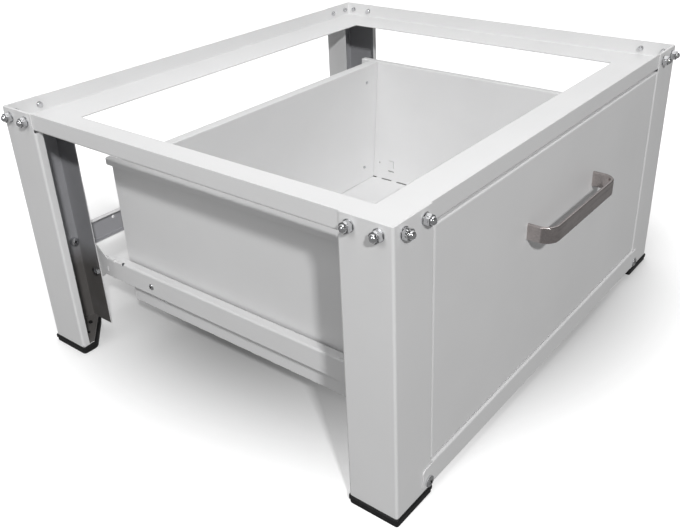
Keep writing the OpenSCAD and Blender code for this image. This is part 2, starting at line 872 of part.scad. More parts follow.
// Angles welded inside the walls behind the drawer's back, which its screws go into
module drawer_corner_angles() {
    wall_x = tray_w / 2 - 2 * tray_sheet - tray_sheet / 2;
    plate_y = back_y + tray_sheet * 1.5;
    end_y = back_y + back_depth - 1;
    color(powder_white) placed() leaning() both_sides() difference() {
        translate([0, 0, angle_bottom]) linear_extrude(angle_top - angle_bottom)
            folded_2d([[wall_x - angle_w, plate_y], [wall_x, plate_y], [wall_x, end_y]],
                tray_sheet, tray_bend);
        at_back_screws() drilled(plate_screw_d + shank_slack);
    }
}

// Drawer front: a pan folded backwards on four sides, with two angles welded inside for the walls
module drawer_front() {
    angle_x = tray_w / 2 + front_sheet / 2;
    inside_y = front_y + front_sheet;
    end_y = front_y + front_depth;
    color(powder_white) placed() difference() {
        union() {
            translate([0, front_y, front_bottom + front_h / 2]) rotate([-90, 0, 0])
                dish(front_w, front_h, front_depth, front_sheet, front_bend);
            both_sides() translate([0, 0, angle_bottom]) linear_extrude(angle_top - angle_bottom - 4)
                folded_2d([[tray_w / 2 + front_angle_w, inside_y], [angle_x, inside_y], [angle_x, end_y]],
                    front_sheet, front_bend);
        }
        both_sides() at_front_screws() drilled(plate_screw_d + hole_slack);
        at_handle_screws() drilled(handle_screw_d + hole_slack);
    }
}

// Bow handle bent from a flat band
module drawer_handle() {
    end_x = handle_pitch / 2;
    bar_y = front_y - handle_reach + handle_t / 2;
    bow = [[-end_x, front_y], [-end_x, bar_y], [end_x, bar_y], [end_x, front_y]];
    color(nickel) placed() difference() {
        translate([0, 0, handle_z - handle_band / 2]) linear_extrude(handle_band)
            folded_2d(bow, handle_t, handle_bend);
        at_handle_screws() cylinder(d = handle_screw_d + shank_slack, h = 10);
    }
}

module handle_screws() {
    color(zinc) placed() at_handle_screws()
        cross_screw(handle_screw_d, handle_screw_l, plate_head_d, plate_head_h);
}

module drawer_back_screws() {
    color(zinc) placed() leaning() both_sides() at_back_screws()
        cross_screw(plate_screw_d, plate_screw_l, plate_head_d, plate_head_h);
}

module drawer_front_screws() {
    color(zinc) placed() both_sides() at_front_screws()
        cross_screw(plate_screw_d, plate_screw_l, plate_head_d, plate_head_h);
}

// Screws inside the slide's channel, their ends flush with the inside of the drawer wall
module slide_inner_screws() {
    color(zinc) placed() both_sides() at_inner_screws() translate([0, 0, -slide_t])
        cross_screw(inner_screw_d, slide_t + tray_sheet, inner_head_d, inner_head_h);
}

// ---- Assembly -----------------------------------------------------------------------------------

top_frame();
front_leg(-1);  // leg_front_left
front_leg(1);  // leg_front_right
rear_leg(-1);  // leg_rear_left
rear_leg(1);  // leg_rear_right
foot(-1, -1);  // foot_front_left
foot(1, -1);  // foot_front_right
foot(-1, 1);  // foot_rear_left
foot(1, 1);  // foot_rear_right
front_lower_rail();
rear_cross_rail();
slide_support(-1);  // slide_support_left
slide_support(1);  // slide_support_right
slide_outer(-1);  // slide_outer_left
slide_outer(1);  // slide_outer_right
frame_bolts();
frame_washers();
frame_cap_nuts();
support_bolts();
support_nuts();
cross_rail_bolts();
cross_rail_nuts();
lower_rail_screws();
lower_rail_nuts();
slide_rivets();
ball_retainer(-1);  // ball_retainer_left
ball_retainer(1);  // ball_retainer_right
slide_balls(-1);  // slide_balls_left
slide_balls(1);  // slide_balls_right
slide_inner(-1);  // slide_inner_left
slide_inner(1);  // slide_inner_right
slide_inner_screws();
drawer_tray();
drawer_back();
drawer_corner_angles();
drawer_front();
drawer_handle();
handle_screws();
drawer_back_screws();
drawer_front_screws();
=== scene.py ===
"""Looks of a washing machine pedestal with a drawer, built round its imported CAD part.

Folded sheet pieces keep the CAD's form and get eased edges and a powder coat. The fasteners, balls
and bow handle are made by geometry node trees at the places and sizes that the CAD gives.
Everything is in metres, in the frame of the CAD part.
"""

from __future__ import annotations

import logging
import math
from dataclasses import dataclass
from enum import Enum

import bmesh
import bpy
from mathutils import Matrix, Vector


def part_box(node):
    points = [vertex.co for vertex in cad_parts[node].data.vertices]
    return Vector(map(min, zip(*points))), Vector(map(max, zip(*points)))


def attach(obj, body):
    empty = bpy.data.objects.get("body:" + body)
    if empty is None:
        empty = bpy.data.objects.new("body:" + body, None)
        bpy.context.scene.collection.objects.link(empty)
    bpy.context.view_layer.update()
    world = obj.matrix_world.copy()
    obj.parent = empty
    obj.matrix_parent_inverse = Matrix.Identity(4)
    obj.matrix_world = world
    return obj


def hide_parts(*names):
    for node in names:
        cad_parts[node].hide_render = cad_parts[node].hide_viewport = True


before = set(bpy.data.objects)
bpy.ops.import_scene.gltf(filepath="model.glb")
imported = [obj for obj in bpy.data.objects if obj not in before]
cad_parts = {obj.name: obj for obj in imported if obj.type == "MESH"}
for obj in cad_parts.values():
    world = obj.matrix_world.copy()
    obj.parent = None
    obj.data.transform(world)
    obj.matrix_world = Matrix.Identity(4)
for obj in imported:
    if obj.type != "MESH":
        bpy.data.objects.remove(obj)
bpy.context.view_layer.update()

log = logging.getLogger("pedestal")
Colour = tuple[float, float, float]
Place = tuple[float, float, float]
Span = tuple[float, float]
Profile = list[Span]
Piece = bpy.types.Object
Socket = bpy.types.NodeSocket
MM = 0.001
WHITE = (1, 1, 1, 1)
WHOLE: Span = (0.0, 1.0)
# Numbers of sockets that share a name with others on their node
MIX_SHARE, MIX_FIRST, MIX_SECOND, MIX_RESULT = 0, 6, 7, 2
RANDOM_LEAST, RANDOM_MOST, RANDOM_SEED, RANDOM_RESULT = 2, 3, 8, 1


# ---- Node trees ----


class Graph:
    """Adds and joins the nodes of one shader or geometry tree."""

    def __init__(self, tree: bpy.types.NodeTree) -> None:
        """Keeps the tree that the nodes go into."""
        self.tree = tree

    def add(self, kind: str, values: dict | list | None = None, **settings: object) -> bpy.types.Node:
        """Adds a node.

        Args:
            kind: Blender's name for the node's type.
            values: for each input its value or the socket that feeds it, under the input's name or
                number, or as a list in the inputs' order.
            settings: the node's own properties.

        Returns:
            The new node.
        """
        node = self.tree.nodes.new(kind)
        for name, setting in settings.items():
            setattr(node, name, setting)
        numbered = values if isinstance(values, dict) else dict(enumerate(values or []))
        for key, value in numbered.items():
            if isinstance(value, Socket):
                self.tree.links.new(value, node.inputs[key])
            else:
                node.inputs[key].default_value = value
        return node

    def math(self, operation: str, *terms: object) -> Socket:
        """Returns the result of a math node on values or sockets."""
        return self.add("ShaderNodeMath", list(terms), operation=operation).outputs[0]

    def between(self, value: Socket, edges: Span, results: tuple) -> Socket:
        """Returns a blend from the first result, at the value's first edge, to the second."""
        return self.add("ShaderNodeMapRange", [value, *edges, *results]).outputs[0]


@dataclass(frozen=True)
class Noise:
    """Cloudy noise: the size of a cloud, how many finer layers lie on it, how strong they are."""

    cell: float
    layers: float = 2.0
    strength: float = 0.5


class Surface(Graph):
    """The node tree of one material, with the patterns that finishes are made of."""

    def __init__(self, name: str) -> None:
        """Starts a material.

        Args:
            name: the material's name.
        """
        self.material = bpy.data.materials.new(name)
        self.material.use_nodes = True
        super().__init__(self.material.node_tree)
        self.tree.nodes.clear()
        self.place = self.add("ShaderNodeTexCoord").outputs["Object"]

    def stretched(self, stretch: Place) -> Socket:
        """Returns the object coordinates scaled by stretch, for grain that runs one way."""
        return self.add("ShaderNodeMapping", {"Vector": self.place, "Scale": stretch}).outputs[0]

    def noise(self, noise: Noise, place: Socket | None = None) -> Socket:
        """Lays noise over the surface.

        Args:
            noise: the noise.
            place: coordinates other than the object's own.

        Returns:
            The noise, from 0 to 1.
        """
        values = {"Vector": place or self.place, "Scale": 1 / noise.cell}
        values |= {"Detail": noise.layers, "Roughness": noise.strength}
        return self.add("ShaderNodeTexNoise", values).outputs[0]

    def mixed(self, share: Socket, first: Colour, second: Colour | Socket) -> Socket:
        """Blends two colours.

        Args:
            share: the second colour's share.
            first: the first colour.
            second: the second colour, or a pattern.

        Returns:
            The blend.
        """
        other = second if isinstance(second, Socket) else (*second, 1)
        values = {MIX_SHARE: share, MIX_FIRST: (*first, 1), MIX_SECOND: other}
        return self.add("ShaderNodeMix", values, data_type="RGBA").outputs[MIX_RESULT]

    def bump(self, height: Socket, depth: float, under: Socket | None = None) -> Socket:
        """Makes a normal bent by a height from 0 to 1.

        Args:
            height: the height pattern.
            depth: the depth that a height of 1 stands for, in metres.
            under: the normal of a coarser bump below this one.

        Returns:
            The bent normal.
        """
        values = {"Height": height, "Distance": depth, "Strength": 1.0}
        if under is not None:
            values["Normal"] = under
        return self.add("ShaderNodeBump", values).outputs[0]

    def finish(self, **sockets: object) -> bpy.types.Material:
        """Ends the material in a Principled shader.

        Args:
            sockets: input name, with _ for a space, to its value or socket.

        Returns:
            The finished material.
        """
        values = {name.replace("_", " "): value for name, value in sockets.items()}
        shader = self.add("ShaderNodeBsdfPrincipled", values)
        self.add("ShaderNodeOutputMaterial", {"Surface": shader.outputs[0]})
        return self.material


def shaded(colour: Colour, share: float) -> Colour:
    """Returns a colour times a share."""
    return tuple(channel * share for channel in colour)


# ---- Finishes ----


@dataclass(frozen=True)
class PowderCoat:
    """Baked powder coat: fine orange peel, faint clouds in tone, soft smudges in the gloss."""

    name: str
    colour: Colour = (0.80, 0.80, 0.802)
    deepest: float = 0.965
    roughness: float = 0.42
    clouds: Noise = Noise(90 * MM, 3)
    cloud_edges: Span = (0.3, 0.7)
    cloud_tones: Span = (0.0, 0.85)
    specks: Noise = Noise(0.9 * MM, 1)
    speck_tone: float = 0.25
    speck_base: float = -0.1
    speck_edges: Span = (0.2, 0.8)
    speck_gloss: Span = (-0.03, 0.03)
    smudges: Noise = Noise(38 * MM, 4, 0.6)
    smudge_edges: Span = (0.42, 0.68)
    smudge_gloss: Span = (0.0, 0.07)
    peel: Noise = Noise(1.9 * MM, 1.5, 0.35)
    peel_depth: float = 0.014 * MM
    grain: Noise = Noise(0.45 * MM, 1)
    grain_depth: float = 0.003 * MM

    def material(self) -> bpy.types.Material:
        """Makes the coat's material.

        Returns:
            The material.
        """
        surface = Surface(self.name)
        clouds = surface.between(surface.noise(self.clouds), self.cloud_edges, self.cloud_tones)
        specks = surface.noise(self.specks)
        tone = surface.math("MULTIPLY_ADD", specks, self.speck_tone, self.speck_base)
        smudges = surface.between(surface.noise(self.smudges), self.smudge_edges, self.smudge_gloss)
        rough = surface.math("ADD", smudges, surface.between(specks, self.speck_edges, self.speck_gloss))
        peel = surface.bump(surface.noise(self.peel), self.peel_depth)
        deepest = shaded(self.colour, self.deepest)
        return surface.finish(
            Base_Color=surface.mixed(surface.math("ADD", clouds, tone), self.colour, deepest),
            Roughness=surface.math("ADD", rough, self.roughness),
            Normal=surface.bump(surface.noise(self.grain), self.grain_depth, peel),
        )


@dataclass(frozen=True)
class PaintedFoldShade:
    """Coat colour darkened inside a narrow fold: painted shade, deepest towards the foot."""

    name: str
    # Painted shade: the upper colour and the darker foot colour stand in for shade inside the fold
    colour: Colour
    painted_foot_shade_colour: Colour
    # Heights over which the painted shade lightens from the foot colour to the upper colour
    foot_shade_levels: Span = (90 * MM, 128 * MM)
    roughness: float = 0.5
    clouds: Noise = Noise(22 * MM, 3, 0.55)
    cloud_edges: Span = (0.3, 0.7)
    cloud_tones: Span = (-0.12, 0.12)
    cloud_gloss: Span = (-0.06, 0.06)
    peel: Noise = Noise(1.4 * MM)
    peel_depth: float = 0.02 * MM

    def material(self) -> bpy.types.Material:
        """Makes the material that paints shade inside a fold.

        Returns:
            The material.
        """
        surface = Surface(self.name)
        level = surface.add("ShaderNodeSeparateXYZ", [surface.place]).outputs["Z"]
        # The painted shade is darkest below the lower height
        height = surface.between(level, self.foot_shade_levels, WHOLE)
        clouds = surface.noise(self.clouds)
        tone = surface.math("ADD", surface.between(clouds, self.cloud_edges, self.cloud_tones), height)
        rough = surface.between(clouds, self.cloud_edges, self.cloud_gloss)
        return surface.finish(
            Base_Color=surface.mixed(tone, self.painted_foot_shade_colour, self.colour),
            Roughness=surface.math("ADD", rough, self.roughness),
            Normal=surface.bump(surface.noise(self.peel), self.peel_depth),
        )


@dataclass(frozen=True)
class BrightPlate:
    """Bright zinc or nickel plate on small turned or pressed pieces, with painted shade in their
    grooves.
    """

    name: str
    colour: Colour = (0.74, 0.745, 0.76)
    roughness: float = 0.09
    scratch_depth: float = 0.003 * MM
    scratches: Noise = Noise(0.35 * MM, 2, 0.6)
    scratch_stretch: Place = (1, 1, 0.18)
    blotches: Noise = Noise(2.6 * MM, 3, 0.6)
    blotch_edges: Span = (0.3, 0.75)
    blotch_gloss: float = 0.1
    blotch_share: float = 0.86
    groove_shade_reach: float = 2.4 * MM
    groove_shade_edges: Span = (0.35, 0.9)
    groove_shade_share: float = 0.06
    groove_shade_rays: int = 4

    def material(self) -> bpy.types.Material:
        """Makes the plate's material.

        Returns:
            The material.
        """
        surface = Surface(self.name)
        blotches = surface.noise(self.blotches)
        scratches = surface.noise(self.scratches, surface.stretched(self.scratch_stretch))
        plate = surface.mixed(blotches, self.colour, shaded(self.colour, self.blotch_share))
        # Painted shade: ambient occlusion darkens the plate's colour in grooves and crevices
        values = {"Color": WHITE, "Distance": self.groove_shade_reach}
        settings = {"samples": self.groove_shade_rays, "only_local": True}
        open_air = surface.add("ShaderNodeAmbientOcclusion", values, **settings).outputs["AO"]
        clear = surface.between(open_air, self.groove_shade_edges, WHOLE)
        gloss = (self.roughness, self.roughness + self.blotch_gloss)
        return surface.finish(
            Base_Color=surface.mixed(clear, shaded(self.colour, self.groove_shade_share), plate),
            Roughness=surface.between(blotches, self.blotch_edges, gloss),
            Normal=surface.bump(scratches, self.scratch_depth),
            Metallic=1.0,
        )


@dataclass(frozen=True)
class SatinMetal:
    """Satin metal with a fine grain brushed along one direction."""

    name: str
    colour: Colour
    roughness: float
    grain_stretch: Place
    grain: Noise = Noise(0.3 * MM, 3, 0.6)
    grain_depth: float = 0.006 * MM
    grain_edges: Span = (0.3, 0.7)
    grain_tones: Span = (0.2, 1.0)
    gloss_edges: Span = (0.25, 0.75)
    gloss: Span = (-0.05, 0.08)
    stains: Noise = Noise(14 * MM, 3, 0.55)
    deepest: float = 0.5

    def material(self) -> bpy.types.Material:
        """Makes the satin material.

        Returns:
            The material.
        """
        surface = Surface(self.name)
        grain = surface.noise(self.grain, surface.stretched(self.grain_stretch))
        lines = surface.between(grain, self.grain_edges, self.grain_tones)
        tone = surface.math("MULTIPLY", lines, surface.noise(self.stains))
        rough = surface.between(grain, self.gloss_edges, self.gloss)
        return surface.finish(
            Base_Color=surface.mixed(tone, self.colour, shaded(self.colour, self.deepest)),
            Roughness=surface.math("ADD", rough, self.roughness),
            Normal=surface.bump(grain, self.grain_depth),
            Metallic=1.0,
        )


@dataclass(frozen=True)
class MouldedPlastic:
    """Black moulded plastic with a spark-eroded grain and a little dust."""

    name: str
    colour: Colour = (0.006, 0.006, 0.0065)
    roughness: float = 0.5
    grain: Noise = Noise(0.5 * MM)
    grain_depth: float = 0.03 * MM
    grain_edges: Span = (0.2, 0.8)
    grain_gloss: Span = (0.0, 0.12)
    dust: Colour = (0.022, 0.021, 0.02)
    dust_patches: Noise = Noise(9 * MM, 5, 0.65)
    dust_edges: Span = (0.5, 0.8)
    dust_tones: Span = (0.0, 0.8)

    def material(self) -> bpy.types.Material:
        """Makes the plastic's material.

        Returns:
            The material.
        """
        surface = Surface(self.name)
        grain = surface.noise(self.grain)
        dust = surface.between(surface.noise(self.dust_patches), self.dust_edges, self.dust_tones)
        rough = surface.between(grain, self.grain_edges, self.grain_gloss)
        return surface.finish(
            Base_Color=surface.mixed(dust, self.colour, self.dust),
            Roughness=surface.math("ADD", rough, self.roughness),
            Normal=surface.bump(grain, self.grain_depth),
        )


class Slot(Enum):
    """The record's material slots, which also name the finishes."""

    COAT = "powder_white"
    FOOT = "foot_plastic"
    PLATE = "zinc_fasteners"
    HANDLE = "handle_nickel"
    SLIDE = "slide_steel"
    CAGE = "cage_steel"
    BALL = "ball_steel"


FINISHES = {
    Slot.COAT: PowderCoat(Slot.COAT.value),
    Slot.FOOT: MouldedPlastic(Slot.FOOT.value),
    Slot.PLATE: BrightPlate(Slot.PLATE.value),
    Slot.HANDLE: SatinMetal(
        Slot.HANDLE.value,
        colour=(0.6, 0.55, 0.54),
        roughness=0.18,
        grain_stretch=(0.02, 1, 1),
        grain=Noise(1.9 * MM, 3, 0.6),
        grain_depth=0.03 * MM,
    ),
    Slot.SLIDE: SatinMetal(
        Slot.SLIDE.value, colour=(0.58, 0.60, 0.62), roughness=0.32, grain_stretch=(1, 0.05, 1)
    ),
    Slot.CAGE: SatinMetal(
        Slot.CAGE.value, colour=(0.5, 0.51, 0.53), roughness=0.38, grain_stretch=(1, 0.1, 1)
    ),
    Slot.BALL: BrightPlate(
        Slot.BALL.value, colour=(0.7, 0.7, 0.71), roughness=0.08, scratch_depth=0.001 * MM
    ),
}


class FoldShade(Enum):
    """Painted shade on the inner faces of narrow folds."""

    LEG = "coat_inside_leg"
    RAIL = "coat_inside_rail"


FOLD_SHADE_FINISHES = {
    FoldShade.LEG: PaintedFoldShade(FoldShade.LEG.value, (0.375, 0.377, 0.394), (0.145, 0.138, 0.133)),
    FoldShade.RAIL: PaintedFoldShade(FoldShade.RAIL.value, (0.42, 0.42, 0.44), (0.36, 0.36, 0.38)),
}


class Palette:
    """Makes each finish's material once and hands it out."""

    def __init__(self) -> None:
        """Makes every material."""
        self.materials = {slot: finish.material() for slot, finish in FINISHES.items()}
        self.fold_shades = {place: finish.material() for place, finish in FOLD_SHADE_FINISHES.items()}

    def line(self, piece: Piece, inside: FoldShade) -> None:
        """Gives the faces that look at the middle of a folded piece a painted shade.

        Args:
            piece: the piece, dressed already.
            inside: the painted shade.
        """
        middle = mean([Vector(corner) for corner in piece.bound_box])
        piece.data.materials.append(self.fold_shades[inside])
        painted_shade_index = len(piece.data.materials) - 1
        for face in piece.data.polygons:
            # Faces that look inward get the painted shade
            if face.normal.dot(middle - face.center) > 0:
                face.material_index = painted_shade_index

    def dress(self, piece: Piece, slot: Slot) -> None:
        """Gives a piece one finish all over.

        Args:
            piece: the piece.
            slot: the finish.
        """
        piece.data.materials.clear()
        piece.data.materials.append(self.materials[slot])


# ---- Meshes ----


MERGE_WITHIN = 0.001 * MM
ORDER_DIGITS = 5
FLAT_WEIGHT = 100


def merged_copy(node: str) -> bmesh.types.BMesh:
    """Copies a CAD node's mesh with its loose triangles joined up.

    Args:
        node: the CAD node's name.

    Returns:
        The joined mesh, which the caller frees.
    """
    joined = bmesh.new()
    joined.from_mesh(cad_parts[node].data)
    bmesh.ops.remove_doubles(joined, verts=joined.verts, dist=MERGE_WITHIN)
    return joined


def solids_of(node: str) -> list[list[Vector]]:
    """Finds the separate solids of a CAD node.

    Args:
        node: the CAD node's name.

    Returns:
        The corners of each solid, the solids in order of place.
    """
    joined = merged_copy(node)
    left = set(joined.verts)
    found = []
    while left:
        group = [left.pop()]
        edge = group
        while edge:
            near = {link.other_vert(vert) for vert in edge for link in vert.link_edges}
            edge = [vert for vert in near if vert in left]
            left.difference_update(edge)
            group.extend(edge)
        found.append([vert.co.copy() for vert in group])
    joined.free()
    return sorted(found, key=lambda corners: [round(value, ORDER_DIGITS) for value in mean(corners)])


def mean(points: list[Vector]) -> Vector:
    """Returns the mean of some points."""
    return sum(points, Vector()) / len(points)


def new_piece(name: str, mesh: bpy.types.Mesh) -> Piece:
    """Puts a mesh into the scene as an object at the origin.

    Args:
        name: the name of the object and its mesh.
        mesh: the mesh.

    Returns:
        The object.
    """
    mesh.name = name
    piece = bpy.data.objects.new(name, mesh)
    bpy.context.scene.collection.objects.link(piece)
    return piece


def piece_of(form: bmesh.types.BMesh, name: str) -> Piece:
    """Turns a working mesh into a piece.

    Args:
        form: the working mesh, which is freed.
        name: the piece's name.

    Returns:
        The piece.
    """
    mesh = bpy.data.meshes.new(name)
    form.to_mesh(mesh)
    form.free()
    return new_piece(name, mesh)


def stand_in(piece: Piece, node: str, body: str) -> None:
    """Shows a piece in place of a CAD node.

    Args:
        piece: the finished piece.
        node: the CAD node.
        body: the body that carries it.
    """
    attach(piece, body)
    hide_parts(node)
    log.info("%s: %d faces", piece.name, len(piece.data.polygons))


def made_plain(piece: Piece) -> None:
    """Bakes a piece's modifiers into its mesh.

    Args:
        piece: the piece, whose modifiers go.
    """
    graph = bpy.context.evaluated_depsgraph_get()
    baked = bpy.data.meshes.new_from_object(piece.evaluated_get(graph))
    piece.modifiers.clear()
    old, piece.data = piece.data, baked
    bpy.data.meshes.remove(old)
    baked.name = piece.name


def ease_edges(piece: Piece, width: float, steps: int, sharp_from: float) -> None:
    """Adds a rounding of a piece's sharp edges.

    Args:
        piece: the piece.
        width: how far from the edge the rounding starts.
        steps: faces across the rounding.
        sharp_from: the least angle of an edge that is rounded, in degrees.
    """
    rounding = piece.modifiers.new("eased_edges", "BEVEL")
    rounding.width = width
    rounding.segments = steps
    rounding.limit_method = "ANGLE"
    rounding.angle_limit = math.radians(sharp_from)
    rounding.use_clamp_overlap = False
    rounding.loop_slide = False
    rounding.miter_outer = "MITER_ARC"


def keep_flats_flat(piece: Piece) -> None:
    """Adds normals that follow the large faces, so that flat sheet shows flat.

    Args:
        piece: the piece.
    """
    flat = piece.modifiers.new("flat_sheet", "WEIGHTED_NORMAL")
    flat.mode = "FACE_AREA"
    flat.weight = FLAT_WEIGHT
    flat.keep_sharp = True


def remove(piece: Piece) -> None:
    """Removes a helper object and its mesh.

    Args:
        piece: the helper.
    """
    mesh = piece.data
    bpy.data.objects.remove(piece)
    bpy.data.meshes.remove(mesh)


@dataclass
class EasedPiece:
    """A CAD node's form with its sharp edges rounded off, as a coat or a press leaves them."""

    node: str
    body: str
    slot: Slot
    ease: float
    steps: int = 2
    sharp_from: float = 34.0
    flat_within: float = 0.4
    # Painted shade for the faces inside the fold, or None
    inside: FoldShade | None = None

    def build(self, palette: Palette) -> None:
        """Makes the piece that is shown in place of the CAD node.

        Args:
            palette: the finishes.
        """
        form = merged_copy(self.node)
        flat = math.radians(self.flat_within)
        bmesh.ops.dissolve_limit(form, angle_limit=flat, verts=form.verts, edges=form.edges)
        piece = piece_of(form, f"finished_{self.node}")
        piece.data.shade_smooth()
        palette.dress(piece, self.slot)
        ease_edges(piece, self.ease, self.steps, self.sharp_from)
        keep_flats_flat(piece)
        made_plain(piece)
        if self.inside is not None:
            palette.line(piece, self.inside)
        stand_in(piece, self.node, self.body)


# ---- Turned and pressed shapes ----


def lathed(name: str, profile: Profile, steps: int) -> Piece:
    """Turns a closed or axis-ended profile round the z axis.

    Args:
        name: the piece's name.
        profile: radius and height of each corner, in metres, anticlockwise.
        steps: faces round the axis.

    Returns:
        The turned piece.
    """
    form = bmesh.new()
    rings = []
    for radius, height in profile:
        if radius == 0:
            rings.append([form.verts.new((0, 0, height))] * steps)
        else:
            turns = [2 * math.pi * step / steps for step in range(steps)]
            places = [(radius * math.cos(turn), radius * math.sin(turn), height) for turn in turns]
            rings.append([form.verts.new(place) for place in places])
    pairs = list(zip(rings, rings[1:]))
    if profile[0][0] > 0:
        pairs.append((rings[-1], rings[0]))
    for low, high in pairs:
        for step in range(steps):
            after = (step + 1) % steps
            corners = [low[step], low[after], high[after], high[step]]
            distinct = list(dict.fromkeys(corners))
            if len(distinct) > 2:
                form.faces.new(distinct)
    bmesh.ops.recalc_face_normals(form, faces=form.faces)
    return piece_of(form, name)


def block(name: str, size: Place, middle: Place, taper: float) -> Piece:
    """Makes a block round a middle, narrower below, as a driver's tip is.

    Args:
        name: the piece's name.
        size: its edges at the top.
        middle: its middle.
        taper: the share of its width that it keeps below.

    Returns:
        The block.
    """
    form = bmesh.new()
    bmesh.ops.create_cube(form, size=1, matrix=Matrix.Diagonal((*size, 1)))
    for vert in form.verts:
        if vert.co.z < 0:
            vert.co.x *= taper
            vert.co.y *= taper
    bmesh.ops.translate(form, verts=form.verts, vec=middle)
    return piece_of(form, name)


def combined(piece: Piece, operation: str, other: Piece) -> None:
    """Joins, cuts or intersects a piece with another, which is used up.

    Args:
        piece: the piece that is changed.
        operation: UNION, DIFFERENCE or INTERSECT.
        other: the other piece.
    """
    step = piece.modifiers.new("combine", "BOOLEAN")
    step.operation = operation
    step.solver = "EXACT"
    step.object = other
    made_plain(piece)
    remove(other)


def dome(radius: float, start: float, rise: float, steps: int) -> Profile:
    """Makes a profile that goes up over a dome to the axis.

    Args:
        radius: the radius of its edge.
        start: the height of its edge.
        rise: how far the dome rises.
        steps: corners on the way up.

    Returns:
        The profile.
    """
    turns = [math.pi / 2 * step / steps for step in range(steps)]
    curve = [(radius * math.cos(turn), start + rise * math.sin(turn)) for turn in turns]
    return [*curve, (0, start + rise)]


# Where a round of thread has its root and its crest, as shares of its pitch
ROOT_AT, CREST_AT = 0.2, 0.6


def thread(radius: float, top: float, bottom: float, pitch: float, depth: float) -> Profile:
    """Makes the profile of a shank from its blunt end up, with rounds of thread.

    Args:
        radius: the shank's outer radius.
        top: the height that the thread ends at.
        bottom: the height of the shank's end.
        pitch: the height of one round.
        depth: how deep the rounds are cut.

    Returns:
        The profile.
    """
    shank = [(0, bottom), (radius - 2 * depth, bottom)]
    rounds = int((top - bottom) / pitch)
    for turn in range(rounds):
        level = bottom + turn * pitch
        shank += [(radius - depth, level + ROOT_AT * pitch), (radius, level + CREST_AT * pitch)]
    return [*shank, (radius, top)]


class Fit(Enum):
    """How a fastener lies on its seat, told from its wide end."""

    HEAD_UP = "the wide end looks away from the seat"
    FOOT_DOWN = "the wide end lies on the seat"


@dataclass(frozen=True)
class CrossScrew:
    """Pan head with a cross recess on a threaded shank; z = 0 is under the head."""

    head: float
    rise: float
    shank: float
    length: float
    smooth: float = 3.2 * MM
    pitch: float = 0.9 * MM
    depth: float = 0.28 * MM
    side_share: float = 0.5
    arm_share: float = 0.56
    arm_width: float = 0.13
    recess_depth: float = 1.3
    recess_taper: float = 0.75
    ease: float = 0.12 * MM
    dome_steps: int = 7
    steps: int = 36
    fit: Fit = Fit.HEAD_UP

    def shape(self) -> Piece:
        """Makes the screw.

        Returns:
            The screw, at the origin.
        """
        radius, shank = self.head / 2, self.shank / 2
        side = self.side_share * self.rise
        thread_top = -min(self.smooth, self.length / 2)
        profile = thread(shank, thread_top, -self.length, self.pitch, self.depth)
        profile += [(shank, 0), (radius, 0), *dome(radius, side, self.rise - side, self.dome_steps)]
        screw = lathed("screw", profile, self.steps)
        arm, width = self.arm_share * self.head, self.arm_width * self.head
        deep = self.recess_depth * self.rise
        for size in ((arm, width, deep), (width, arm, deep)):
            combined(screw, "DIFFERENCE", block("recess", size, (0, 0, self.rise), self.recess_taper))
        return screw


@dataclass(frozen=True)
class HexNut:
    """Hexagon nut with chamfered corners, open or with a domed cap; z = 0 is its seat."""

    flats: float
    height: float
    bore: float = 0.0
    cap: float = 0.0
    rise: float = 0.0
    chamfer_share: float = 0.8
    barrel_over: float = 0.03 * MM
    cap_sunk: float = 0.5 * MM
    ease: float = 0.15 * MM
    sides: int = 6
    dome_steps: int = 9
    steps: int = 44
    fit: Fit = Fit.FOOT_DOWN

    def shape(self) -> Piece:
        """Makes the nut, a barrel with cone ends that a hexagon cuts.

        Returns:
            The nut, at the origin.
        """
        inner, half, corner = self.bore / 2, self.flats / 2, self.flats / math.sqrt(3)
        top = self.height - self.cap
        chamfer = (corner - half) * self.chamfer_share
        barrel = corner + self.barrel_over
        profile = [(inner, 0), (half, 0), (barrel, chamfer), (barrel, top - chamfer), (half, top)]
        nut = lathed("nut", [*profile, (inner, top)], self.steps)
        prism = [(0, -MM), (corner, -MM), (corner, top + MM), (0, top + MM)]
        combined(nut, "INTERSECT", lathed("prism", prism, self.sides))
        if self.cap > 0:
            shoulder = [(0, top - self.cap_sunk), (self.cap, top - self.cap_sunk)]
            profile = shoulder + dome(self.cap, top, self.cap, self.dome_steps)
            combined(nut, "UNION", lathed("cap", profile, self.steps))
        return nut


@dataclass(frozen=True)
class PlainWasher:
    """Flat washer; z = 0 is its seat."""

    outer: float
    bore: float
    height: float
    rise: float = 0.0
    ease: float = 0.12 * MM
    steps: int = 48
    fit: Fit = Fit.FOOT_DOWN

    def shape(self) -> Piece:
        """Makes the washer.

        Returns:
            The washer, at the origin.
        """
        inner, outer = self.bore / 2, self.outer / 2
        profile = [(inner, 0), (outer, 0), (outer, self.height), (inner, self.height)]
        return lathed("washer", profile, self.steps)


@dataclass(frozen=True)
class BlindRivet:
    """Domed ring head on a short hollow shank; z = 0 is under the head."""

    head: float
    rise: float
    shank: float
    bore: float
    length: float
    crown: tuple[Span, ...] = ((1.0, 0.35), (0.8, 0.85), (0.5, 1.0))
    ease: float = 0.08 * MM
    steps: int = 36
    fit: Fit = Fit.HEAD_UP

    def shape(self) -> Piece:
        """Makes the rivet, its head's crown given as shares of radius and rise.

        Returns:
            The rivet, at the origin.
        """
        inner, radius, shank = self.bore / 2, self.head / 2, self.shank / 2
        profile = [(inner, -self.length), (shank, -self.length), (shank, 0), (radius, 0)]
        profile += [(out * radius, up * self.rise) for out, up in self.crown]
        return lathed("rivet", [*profile, (inner, self.rise)], self.steps)


